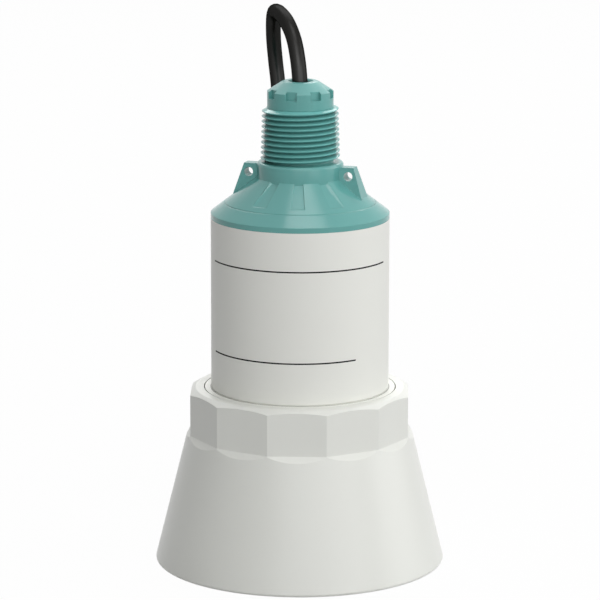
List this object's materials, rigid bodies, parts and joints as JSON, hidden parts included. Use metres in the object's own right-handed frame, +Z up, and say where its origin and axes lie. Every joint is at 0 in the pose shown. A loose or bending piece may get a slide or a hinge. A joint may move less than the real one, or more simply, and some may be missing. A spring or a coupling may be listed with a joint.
{
  "type": "radar level transmitter",
  "caption": "Compact radar level transmitter: moulded head cap with tapered pipe thread, cable gland and cable, tube housing, and a screwed-on hood with a twelve-sided collar.",
  "frame": {"origin": "centre of the hood's rim, on the plane that it stands on", "axes": "+Z up along the transmitter's axis, X through the two lugs, the free cable leaves towards +Y"},
  "size_m": [0.1418, 0.2172, 0.2347],
  "materials": {
    "teal_plastic": "fine satin moulded plastic",
    "white_plastic": "smooth off-white moulded plastic",
    "hood_plastic": "turned off-white plastic with fine lines on the collar's top",
    "lens_plastic": "smooth white fluoropolymer",
    "seal_rubber": "matt black rubber",
    "slip_plastic": "natural nylon",
    "cable_jacket": "satin black cable jacket",
    "tie_plastic": "black nylon strap",
    "core_brown": "brown core insulation",
    "core_blue": "blue core insulation",
    "ferrule_metal": "tinned copper ferrule",
    "board": "green solder mask",
    "chip": "black epoxy package",
    "brass": "turned brass",
    "steel": "zinc plated steel",
    "capacitor_can": "sleeved aluminium can",
    "ferrite": "dark ferrite",
    "terminal_plastic": "green terminal plastic"
  },
  "bodies": {
    "transmitter": {"antenna_base": "white_plastic", "lens": "lens_plastic", "base_o_ring": "seal_rubber", "feed_horn": "brass", "radar_board": "board", "radar_chip": "chip", "board_pillars": "brass", "board_screws": "steel", "board_header": "chip", "housing": "white_plastic", "main_board": "board", "processor": "chip", "capacitors": "capacitor_can", "supply_choke": "ferrite", "terminal_block": "terminal_plastic", "core_brown": "core_brown", "core_blue": "core_blue", "head_cap": "teal_plastic", "cap_o_ring": "seal_rubber", "cable_seal": "seal_rubber", "cable": "cable_jacket", "cable_coil": "cable_jacket", "cable_ties": "tie_plastic", "cable_tail": "cable_jacket", "end_cap": "seal_rubber", "lead_brown": "core_brown", "lead_blue": "core_blue", "lead_ferrules": "ferrule_metal"},
    "slip_ring": {"slip_ring": "slip_plastic"},
    "gland_nut": {"gland_nut": "teal_plastic"},
    "hood_gasket": {"hood_gasket": "seal_rubber"},
    "hood": {"hood": "hood_plastic"}
  },
  "joints": [
    {"name": "gland_nut_rise", "type": "slide", "parent": "transmitter", "child": "slip_ring", "axis": [0, 0, 1], "range_m": [0, 0.006]},
    {"name": "gland_nut_turn", "type": "hinge", "parent": "slip_ring", "child": "gland_nut", "pos_m": [0, 0, 0.2], "axis": [0, 0, 1], "range_deg": [0, 1440]},
    {"name": "hood_drop", "type": "slide", "parent": "transmitter", "child": "hood_gasket", "axis": [0, 0, -1], "range_m": [0, 0.0161]},
    {"name": "hood_turn", "type": "hinge", "parent": "hood_gasket", "child": "hood", "pos_m": [0, 0, 0.06], "axis": [0, 0, -1], "range_deg": [0, 1440]}
  ],
  "couplings": [
    {"joint": "gland_nut_rise", "follows": "gland_nut_turn", "m_per_rad": 0.00023873},
    {"joint": "hood_drop", "follows": "hood_turn", "m_per_rad": 0.00063661}
  ]
}
